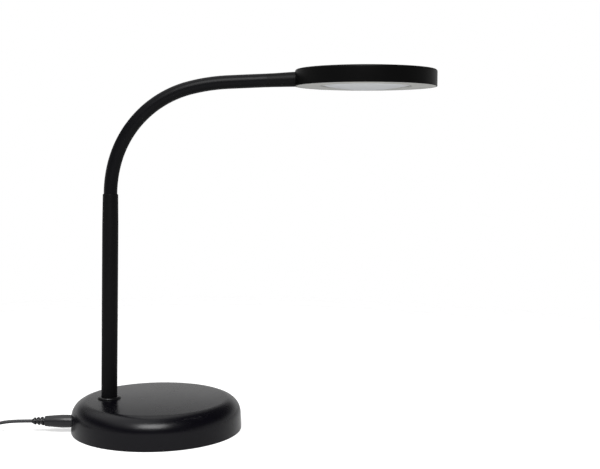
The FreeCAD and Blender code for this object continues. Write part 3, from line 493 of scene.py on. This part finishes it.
for number, (before, after) in enumerate(zip(bends, bends[1:])):
    is_first = number == 0
    is_last = number == len(bends) - 2
    if is_first:
        tuck = post_place @ Matrix.Translation((0, 0, post_height - sleeve_tuck))
        stations = [tuck] + [before.at(ring / first_rings) for ring in range(first_rings)]
    else:
        stations = [before.at(0.5 + 0.5 * ring / half_rings) for ring in range(half_rings)]
    far = ferrule_tuck / after.length if is_last else 0.5
    stations += [after.at(far * ring / half_rings) for ring in range(half_rings + 1)]
    length_of_sleeve = sleeve("neck_sleeve_%02d" % (number + 1), stations)
    cover(length_of_sleeve, rubber)
    reach_before = end_reach if is_first else link_reach
    reach_after = end_reach if is_last else link_reach
    bend_start = before.at(1 - reach_before / before.length).translation
    bend_end = after.at(reach_after / after.length).translation
    neck_bodies[number + 1]
    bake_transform(length_of_sleeve)
    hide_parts("neck_lower_end" if number == 0 else "neck_link_%02d" % number)

# Ferrule
# A steel end, powder coated as the post is, that the neck is pressed into. It swells a little where
# it meets the head, and a clip behind the head's wall holds it.
ferrule_length = 19 * mm
ferrule_radius = 6.5 * mm
ferrule_bore = 5.0 * mm
ferrule_bore_depth = 5.6 * mm
ferrule_skin = 0.02 * mm
ferrule_swell = 0.05 * mm
ferrule_flare = 30 * mm
ferrule_blend = 20 * mm
ferrule_start = 0.4 * mm
ferrule_full = 2.0 * mm
ferrule_sunk = 1.0 * mm
last_hinge = -bends[-1].length
ferrule_mesh = turned([
    (0.0, last_hinge + ferrule_bore_depth),
    (ferrule_bore, last_hinge + ferrule_bore_depth),
    (ferrule_bore, last_hinge + ferrule_start),
    (neck_radius + ferrule_skin, last_hinge + ferrule_start),
    (neck_radius + ferrule_swell, -ferrule_length, ferrule_flare),
    (ferrule_radius, -ferrule_full, ferrule_blend),
    (ferrule_radius, ferrule_sunk),
    (0.0, ferrule_sunk),
], small_turn_steps)
ferrule_mesh.transform(bends[-1].at(1.0))
ferrule = made("neck_ferrule", ferrule_mesh)
cover(ferrule, powder)
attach(ferrule, "head")
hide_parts("head_ferrule")

# Head shell
# A flat black drum, open below, with a rounded top edge and a hole for the key. Its wall is stepped
# at the rim, so that the light ring drops in flush and hardly any black shows round it.
head_height = head_high.z - head_low.z
head_wall = 2 * mm
rim_wall = 0.8 * mm
ring_face = 0.1 * mm
ring_back = 1.9 * mm
head_place = Matrix.Translation(head_middle)
key_low, key_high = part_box("switch_key")
key_x = (key_low.x + key_high.x) / 2 - head_middle.x
head_round = 1.8 * mm
head_corner = 0.8 * mm
rim_edge = 0.3 * mm
rim_inner_edge = 0.1 * mm
wide_turn_steps = 192
key_radius = 7 * mm
key_gap = 0.3 * mm
drum = turned([
    (0.0, head_height),
    (head_radius, head_height, head_round),
    (head_radius, 0, rim_edge),
    (head_radius - rim_wall, 0, rim_inner_edge),
    (head_radius - rim_wall, ring_back),
    (head_radius - head_wall, ring_back),
    (head_radius - head_wall, head_height - head_wall, head_corner),
    (0.0, head_height - head_wall),
], wide_turn_steps)
drum.transform(head_place)
head_cover = made("head_cover", drum)
key_way = rod("key_way", key_radius + key_gap, head_middle + Vector((key_x, 0, head_height / 2)),
              head_middle + Vector((key_x, 0, 2 * head_height)))
combine(head_cover, key_way, "DIFFERENCE")
smooth(head_cover)
cover(head_cover, moulding("head_moulding", (0.0022, 0.0022, 0.0022), 0.34, 0.05))
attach(head_cover, "head")
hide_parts("head_shell")

# Key
# A round push key with a dished top that stands just proud of the head. It is moulded in black, a
# flange under the shell keeps it in, and its stem presses the switch.
key_top = head_height + 0.8 * mm
key_dish = 0.35 * mm
key_rim = 0.9 * mm
key_rim_edge = 0.25 * mm
key_round = 0.5 * mm
flange_radius = 8.2 * mm
flange_top = head_height - head_wall - key_gap
flange_bottom = flange_top - 1.2 * mm
stem_radius = 2.0 * mm
stem_bottom = 8.2 * mm
key = turned([
    (0.0, key_top - key_dish),
    (key_radius - key_rim, key_top, key_rim_edge),
    (key_radius, key_top, key_round),
    (key_radius, flange_top),
    (flange_radius, flange_top),
    (flange_radius, flange_bottom),
    (stem_radius, flange_bottom),
    (stem_radius, stem_bottom),
    (0.0, stem_bottom),
], small_turn_steps)
key.transform(head_place @ Matrix.Translation((key_x, 0, 0)))
push_key = made("push_key", key, 25.0)
cover(push_key, moulding("key_moulding", (0.02, 0.02, 0.021), 0.4, 0.35))
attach(push_key, "key")
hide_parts("switch_key")

# Light ring and lens
# A light grey moulded ring closes the underside and holds the flange of a domed, frosted lens. The
# lens starts a little over a millimetre up in the ring's bore and bulges out of it in the middle.
ring_bore = 40.3 * mm
ring_gap = 0.15 * mm
ring_radius = head_radius - rim_wall - ring_gap
ring_bore_edge = 0.25 * mm
ring_edge = 0.2 * mm
lip_bore = 43.3 * mm
lip_radius = 44.9 * mm
lip_top = ring_back + 1.8 * mm
face_ring = turned([
    (ring_bore, ring_face, ring_bore_edge),
    (ring_bore, ring_back),
    (lip_bore, ring_back),
    (lip_bore, lip_top),
    (lip_radius, lip_top),
    (lip_radius, ring_back),
    (ring_radius, ring_back),
    (ring_radius, ring_face, ring_edge),
], wide_turn_steps)
face_ring.transform(head_place)
grey_ring = made("grey_ring", face_ring)
cover(grey_ring, moulding("ring_moulding", (0.44, 0.44, 0.42), 0.5, 0.4))
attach(grey_ring, "head")
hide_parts("light_ring")

lens_radius = ring_bore - 0.3 * mm
lens_low = -3.0 * mm
lens_edge = ring_face + 1.3 * mm
lens_sag = lens_edge - lens_low
lens_wall = 2 * mm
lens_flange = lip_bore - 0.3 * mm
lens_back = ring_back + 1.2 * mm
lens_sphere = (lens_radius ** 2 + lens_sag ** 2) / (2 * lens_sag)
dome_steps = 28


def dome(radius, edge_height):
    """Corners of a shallow dome, from its middle out to its edge."""
    half = math.asin(radius / lens_sphere)
    corners = []
    for step in range(dome_steps + 1):
        angle = half * step / dome_steps
        height = edge_height + lens_sphere * (math.cos(half) - math.cos(angle))
        corners.append((lens_sphere * math.sin(angle), height))
    return corners


lens_mesh = turned(
    dome(lens_radius, lens_edge)
    + [(lens_radius, ring_back), (lens_flange, ring_back), (lens_flange, lens_back)]
    + dome(lens_radius - lens_wall, lens_back)[::-1]
)
lens_mesh.transform(head_place)
lens = made("domed_lens", lens_mesh)
frost = Finish("frosted_acrylic", {"IOR": 1.49, "Transmission Weight": 0.25})
frost_cloud = frost.noise(18 * mm)
frost_grain = frost.noise(0.3 * mm)
frost.varies("Base Color", frost.mixed(frost_cloud, (0.84, 0.86, 0.885), (0.88, 0.9, 0.925)))
frost.varies("Roughness", 0.3 + 0.08 * frost_cloud)
frost.bumped(frost_grain, 0.005 * mm)
cover(lens, frost)
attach(lens, "head")
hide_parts("dome_lens")

# Heat plate, boards and leads inside
# An aluminium plate carries the LED board; the switch stands on a small board of its own. Thin
# leads join them and run down the neck and the post to the socket.
cover(nodes["heat_plate"], metal("sheet_aluminium", (0.8, 0.8, 0.81), 0.35, (1.0, 8.0, 1.0)))


def board(name, colour):
    """A circuit board: solder resist over a weave that just shows, with faint tracks."""
    finish = Finish(name, {"Coat Roughness": 0.2})
    tracks = finish.stepped(finish.cells(3 * mm), 0.45, 0.5)
    weave = finish.noise(0.3 * mm)
    finish.varies("Base Color", finish.mixed(tracks, colour, [0.8 * part for part in colour]))
    finish.varies("Roughness", 0.3 + 0.1 * weave)
    finish.bumped(tracks, 0.03 * mm)
    return finish


green_board = board("green_board", (0.01, 0.12, 0.04))
cover(nodes["led_board"], board("white_board", (0.8, 0.8, 0.77)))
cover(nodes["switch_board"], green_board)
cover(nodes["adapter_board"], green_board)
phosphor = Finish("phosphor", {})
phosphor_grain = phosphor.noise(0.4 * mm)
phosphor.varies("Base Color", phosphor.mixed(phosphor_grain, (0.75, 0.62, 0.12), (0.85, 0.74, 0.22)))
phosphor.varies("Roughness", 0.5 + 0.2 * phosphor_grain)
cover(nodes["led_chips"], phosphor)
cover(nodes["push_switch"], moulding("switch_moulding", (0.02, 0.02, 0.02), 0.4, 0.4))


def sheath(name, colour, roughness):
    """Soft extruded sheath, with faint lengthwise flow and small scuffs."""
    finish = Finish(name, {"Specular IOR Level": 0.4})
    flow = finish.noise(5 * mm, 4.0)
    fine = finish.noise(0.3 * mm)
    finish.varies("Base Color", finish.mixed(flow, colour, [1.5 * part for part in colour]))
    finish.varies("Roughness", roughness + 0.15 * flow)
    finish.bumped(fine, 0.01 * mm)
    return finish


red_sheath = sheath("inner_sheath", (0.4, 0.02, 0.015), 0.4)
for node in ("base_lead", "post_lead", "head_lead", "led_lead"):
    cover(nodes[node], red_sheath)

# Plug
# A soft grip moulded over a nickel plated barrel, fuller in the middle, with three slanting ribs
# behind it that let the lead bend gently.
plug_low, plug_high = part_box("dc_plug")
plug_length = 25.5 * mm
rib_pitch = 3.4 * mm
rib_width = 2.1 * mm
rib_radii = (4.0 * mm, 3.7 * mm, 3.3 * mm)
rib_core = 2.2 * mm
rib_edge = 0.4 * mm
rib_crown = 0.5 * mm
rib_front_fall = 0.2 * mm
rib_crown_fall = 0.1 * mm
rib_back_fall = 0.6 * mm
rib_slant = 0.12
grip_edge = 0.5 * mm
grip_front = 5.45 * mm
grip_fullest = 5.75 * mm
grip_fullest_at = 10 * mm
grip_swell = 60 * mm
grip_back = 4.55 * mm
core_end = 2.0 * mm
slant_from = plug_length + 0.5 * mm
plug_end = plug_high.x - plug_low.x
slant_to = plug_end - 1.5 * mm
grip = [
    (0.0, 0.0),
    (grip_front, 0.0, grip_edge),
    (grip_fullest, grip_fullest_at, grip_swell),
    (grip_back, plug_length, grip_edge),
    (rib_core, plug_length),
]
for number, radius in enumerate(rib_radii):
    start = plug_length + rib_pitch - rib_width + number * rib_pitch
    grip += [
        (rib_core, start),
        (radius - rib_front_fall, start, rib_edge),
        (radius - rib_crown_fall, start + 0.5 * rib_width, rib_crown),
        (radius - rib_back_fall, start + rib_width, rib_edge),
        (rib_core, start + rib_width),
    ]
grip += [(core_end, plug_end), (0.0, plug_end)]
plug_mesh = turned(grip, small_turn_steps)
for vert in plug_mesh.verts:
    if slant_from < vert.co.z < slant_to:
        vert.co.z += rib_slant * vert.co.x
plug_place = Matrix.Translation((plug_high.x, socket_y, socket_z)) @ Matrix.Rotation(-math.pi / 2, 4, "Y")
plug_mesh.transform(plug_place)
plug = made("plug_grip", plug_mesh)
cover(plug, sheath("plug_rubber", (0.008, 0.008, 0.0095), 0.26))
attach(plug, "lamp_base")
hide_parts("dc_plug")
cover(nodes["plug_barrel"], metal("nickel_plate", (0.72, 0.7, 0.66), 0.15))

# Wall adapter
# A small plug-in adapter, moulded in two halves, with two round nickel plated pins and a ribbed
# boot where the lead comes out. It lies on its side beside the coil.
adapter_black = moulding("adapter_moulding", (0.012, 0.012, 0.0125), 0.5, 0.4, 0.9 * mm, 0.05 * mm)
cover(nodes["adapter_case"], adapter_black)
cover(nodes["adapter_lid"], adapter_black)
cover(nodes["adapter_pins"], metal("pin_plate", (0.75, 0.73, 0.7), 0.2, (1.0, 5.0, 5.0)))
tape = Finish("core_tape", {})
tape_wrap = tape.noise(1.5 * mm, 2.0, (0.2, 1.0, 3.0))
tape.varies("Base Color", tape.mixed(tape_wrap, (0.6, 0.42, 0.05), (0.75, 0.55, 0.1)))
tape.varies("Roughness", 0.35 + 0.2 * tape_wrap)
cover(nodes["adapter_transformer"], tape)

boot_low, boot_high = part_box("adapter_boot")
boot_length = boot_high.y - boot_low.y
boot_middle = (boot_low + boot_high) / 2
boot_root = 4.0 * mm
boot_root_length = 2.4 * mm
boot_root_edge = 0.3 * mm
boot_core = 2.3 * mm
boot_end = 2.1 * mm
boot_ribs = 4
boot_rib_from = 3.0 * mm
boot_rib_pitch = 2.1 * mm
boot_rib_radius = 3.8 * mm
boot_rib_shrink = 0.32 * mm
boot_rib_width = 1.4 * mm
boot_rib_fall = 0.2 * mm
boot_rib_edge = 0.25 * mm
boot_turn_steps = 64
boot_outline = [(0.0, 0.0), (boot_root, 0.0), (boot_root, boot_root_length, boot_root_edge)]
for number in range(boot_ribs):
    start = boot_rib_from + boot_rib_pitch * number
    radius = boot_rib_radius - boot_rib_shrink * number
    boot_outline += [
        (boot_core, start),
        (radius, start, boot_rib_edge),
        (radius - boot_rib_fall, start + boot_rib_width, boot_rib_edge),
        (boot_core, start + boot_rib_width),
    ]
boot_outline += [(boot_end, boot_length), (0.0, boot_length)]
boot_mesh = turned(boot_outline, boot_turn_steps)
boot_mesh.transform(
    Matrix.Translation((boot_middle.x, boot_high.y, boot_middle.z)) @ Matrix.Rotation(math.pi / 2, 4, "X")
)
adapter_boot = made("lead_boot", boot_mesh)
cover(adapter_boot, sheath("boot_rubber", (0.012, 0.012, 0.013), 0.4))
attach(adapter_boot, "lamp_base")
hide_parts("adapter_boot")

# Tie of the coil
# A flat band with rounded corners that holds the put-away turns together. It is moulded in soft
# black plastic and goes through the middle of the coil and under it.
coil_middle = Vector((-204 * mm, -38.5 * mm, 0))
coil_radius = 22.8 * mm
coil_turns = 12.75
coil_layers = 4
turns_per_layer = 3.25
coil_pitch = 3.6 * mm
coil_rise = 3.5 * mm
lead_diameter = 3 * mm
tie_width = 5 * mm
tie_thickness = 0.6 * mm
tie_angle = math.radians(200)
tie_gap = 0.1 * mm
tie_corner = 0.8 * mm
tie_wall = 0.9 * tie_thickness
hole_radius = coil_radius - coil_pitch * turns_per_layer - lead_diameter / 2
band_inside = math.sqrt(hole_radius ** 2 - (tie_width / 2) ** 2) - tie_gap
band_outside = coil_radius + lead_diameter / 2 + tie_gap
band_height = lead_diameter + coil_rise * (coil_layers - 1) + 2 * tie_gap
band_mesh = bmesh.new()
loop = [
    band_mesh.verts.new((corner.x, -tie_width / 2, corner.y))
    for corner in rounded([
        (band_inside, tie_thickness, tie_corner),
        (band_outside, tie_thickness, tie_corner),
        (band_outside, tie_thickness + band_height, tie_corner),
        (band_inside, tie_thickness + band_height, tie_corner),
    ])
]
for pair in zip(loop, loop[1:] + loop[:1]):
    band_mesh.edges.new(pair)
grown = bmesh.ops.extrude_edge_only(band_mesh, edges=band_mesh.edges[:])["geom"]
bmesh.ops.translate(
    band_mesh, vec=(0, tie_width, 0), verts=[part for part in grown if isinstance(part, bmesh.types.BMVert)]
)
bmesh.ops.recalc_face_normals(band_mesh, faces=band_mesh.faces)
bmesh.ops.solidify(band_mesh, geom=band_mesh.faces[:], thickness=-tie_wall)
band_mesh.transform(Matrix.Translation(coil_middle) @ Matrix.Rotation(tie_angle, 4, "Z"))
tie = made("coil_band", band_mesh)
cover(tie, moulding("band_moulding", (0.03, 0.03, 0.032), 0.5, 0.3))
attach(tie, "lamp_base")
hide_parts("coil_tie")

# Lead
# One and a half metres of thin black lead. It comes level out of the plug and sinks to the table;
# what is out of view is wound into a tied coil in four layers, and its end goes to the adapter.
points_per_turn = 16
turns_of_a_climb = 0.5
coil_start_angle = math.radians(90)


def coil_point(turns):
    """A point of the coil after so many turns from its outer start."""
    inward = turns_per_layer - abs(turns % (2 * turns_per_layer) - turns_per_layer)
    radius = (coil_radius - coil_pitch * inward) / math.cos(math.pi / points_per_turn)
    nearest = min(max(round(turns / turns_per_layer), 1), coil_layers - 1)
    climb = (turns - nearest * turns_per_layer) / turns_of_a_climb + 0.5
    height = nearest - 1 + min(max(climb, 0.0), 1.0)
    angle = coil_start_angle + 2 * math.pi * turns
    level = tie_thickness + tie_gap + lead_diameter / 2 + height * coil_rise
    return coil_middle + Vector((radius * math.cos(angle), radius * math.sin(angle), level))


plug_exit = Vector((plug_low.x, socket_y, socket_z))
adapter_entry = Vector((boot_middle.x, boot_low.y, boot_middle.z))
coil_entry = coil_middle + Vector((3 * mm, coil_radius, 2.2 * mm))
route = [
    plug_exit,
    Vector((-122 * mm, socket_y, socket_z)),
    Vector((-138 * mm, -17 * mm, 9.0 * mm)),
    Vector((-155 * mm, -19 * mm, 3.0 * mm)),
    Vector((-172 * mm, -18.4 * mm, 1.5 * mm)),
    coil_entry + Vector((13 * mm, 0, 0)),
    coil_entry,
]
for step in range(round(coil_turns * points_per_turn) + 1):
    route.append(coil_point(step / points_per_turn))
coil_exit = route[-1] + Vector((0, 3 * mm, 0))
route += [
    coil_exit,
    coil_exit + Vector((0, 12 * mm, 0)),
    adapter_entry - Vector((0, 11 * mm, 0)),
    adapter_entry,
]
line = bpy.data.curves.new("lead", "CURVE")
line.dimensions = "3D"
line.bevel_depth = lead_diameter / 2
line.bevel_resolution = 5
line.use_fill_caps = True
spline = line.splines.new("NURBS")
spline.points.add(len(route) - 1)
for control, point in zip(spline.points, route):
    control.co = (*point, 1.0)
spline.order_u = 3
spline.use_endpoint_u = True
spline.resolution_u = 4
lead = bpy.data.objects.new("lead", line)
bpy.context.scene.collection.objects.link(lead)
cover(lead, sheath("lead_sheath", (0.022, 0.022, 0.024), 0.4))
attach(lead, "lamp_base")
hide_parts("lead_run", "lead_coil", "lead_tail")

# Floor, light and camera
# A white table that fades into a white surround, one soft lamp high in front, and the camera where
# the photograph was taken. Gloss shows the studio: a low white wall behind and beside the lamp, a
# pale light overhead on the left, and a dim room in front.
floor_size = 6.0
floor_drop = 0.1 * mm
floor_whole = 0.42
floor_gone = 0.85
floor_glow = 0.57
white = (1.0, 1.0, 1.0, 1.0)
floor_mesh = bmesh.new()
bmesh.ops.create_grid(floor_mesh, x_segments=1, y_segments=1, size=floor_size)
bmesh.ops.translate(floor_mesh, vec=(0, 0, -floor_drop), verts=floor_mesh.verts)
floor = made("table", floor_mesh)
table = Finish("table_white", {
    "Base Color": (0.9, 0.9, 0.9, 1.0), "Roughness": 0.9, "Specular IOR Level": 0.1, "Emission Strength": 1.0
})
seen = table.node("ShaderNodeLightPath", {}, {}, "Is Camera Ray")
table.varies("Emission Color", seen * floor_glow)
away = table.node("ShaderNodeVectorMath", {"operation": "LENGTH"}, {0: table.place}, "Value")
faded = seen * table.stepped(away, floor_whole, floor_gone)
clear = table.tree.nodes.new("ShaderNodeBsdfTransparent")
fade = table.tree.nodes.new("ShaderNodeMixShader")
table.tree.links.new(faded.socket, fade.inputs["Fac"])
table.tree.links.new(table.shader.outputs["BSDF"], fade.inputs[1])
table.tree.links.new(clear.outputs["BSDF"], fade.inputs[2])
table.tree.links.new(fade.outputs["Shader"], table.tree.nodes["Material Output"].inputs["Surface"])
cover(floor, table)


class Surround(Finish):
    """The studio around the lamp, as nodes of the world. A place there is a direction."""

    def __init__(self, name):
        self.world = bpy.data.worlds.new(name)
        self.world.use_nodes = True
        self.tree = self.world.node_tree
        self.shader = self.tree.nodes["Background"]
        self.place = self.node("ShaderNodeTexCoord", {}, {}, "Generated")

    def along(self, axis):
        """How far the direction goes along an axis, from -1 to 1."""
        return self.node("ShaderNodeSeparateXYZ", {}, {"Vector": self.place}, axis)

    def size(self, value):
        """The value without its sign."""
        return self.node("ShaderNodeMath", {"operation": "ABSOLUTE"}, {0: value})


plain_light = 0.2
room_light = 0.06
wall_light = 0.72
wall_wrap = 0.6
wall_skew = 0.1
wall_from, wall_to = -0.5, 0.4
wall_top_dip = 0.1
wall_top_from, wall_top_to = 0.2, 0.45
overhead_light = 1.4
overhead_shift = 0.35
overhead_from, overhead_to = 0.4, 0.85
overhead_side_from, overhead_side_to = 0.3, 0.5
studio = Surround("white_studio")
studio.shader.inputs["Color"].default_value = white
bpy.context.scene.world = studio.world
across = studio.along("X")
up = studio.along("Z")
aside = studio.size(across)
around = studio.along("Y") + wall_wrap * aside - wall_skew * across
white_wall = studio.stepped(around, wall_from, wall_to)
low = 1 - studio.stepped(up + wall_top_dip * aside, wall_top_from, wall_top_to)
beside = studio.stepped(studio.size(across + overhead_shift), overhead_side_from, overhead_side_to)
overhead = studio.stepped(up, overhead_from, overhead_to) * (1 - beside)
mirrored = room_light + wall_light * (white_wall * low) + overhead_light * overhead
is_gloss = studio.node("ShaderNodeLightPath", {}, {}, "Is Glossy Ray")
is_seen = studio.node("ShaderNodeLightPath", {}, {}, "Is Camera Ray")
light = plain_light + is_gloss * (mirrored - plain_light)
studio.varies("Strength", studio.node("ShaderNodeMath", {"operation": "MAXIMUM"}, {0: light, 1: is_seen}))


def lamp(name, size, power, position, aim):
    """A soft lamp, so wide and so high, that points at a place."""
    light = bpy.data.lights.new(name, "AREA")
    light.shape = "RECTANGLE"
    light.size, light.size_y = size
    light.energy = power
    holder = bpy.data.objects.new(name, light)
    holder.location = position
    holder.rotation_euler = (Vector(aim) - Vector(position)).to_track_quat("-Z", "Y").to_euler()
    bpy.context.scene.collection.objects.link(holder)


lamp_size = (0.9, 0.85)
lamp_power = 32.0
lamp_place = (0.0, -1.2, 1.36)
lamp_aim = (0.0, -0.07, 0.02)
lamp("soft_lamp", lamp_size, lamp_power, lamp_place, lamp_aim)

camera_place = Vector((0.1288, -0.9132, 0.2502))
camera_pitch = 0.081
camera_roll = 0.0033
focal_pixels = 1028
frame_width = 600
sensor = 36.0
view = bpy.data.cameras.new("camera")
view.sensor_width = sensor
view.lens = sensor * focal_pixels / frame_width
view.clip_start = 0.01
camera = bpy.data.objects.new("camera", view)
camera.matrix_world = (
    Matrix.Translation(camera_place)
    @ Matrix.Rotation(math.pi / 2 - camera_pitch, 4, "X")
    @ Matrix.Rotation(camera_roll, 4, "Z")
)
bpy.context.scene.collection.objects.link(camera)
bpy.context.scene.camera = camera
bpy.context.scene.view_settings.view_transform = "Standard"
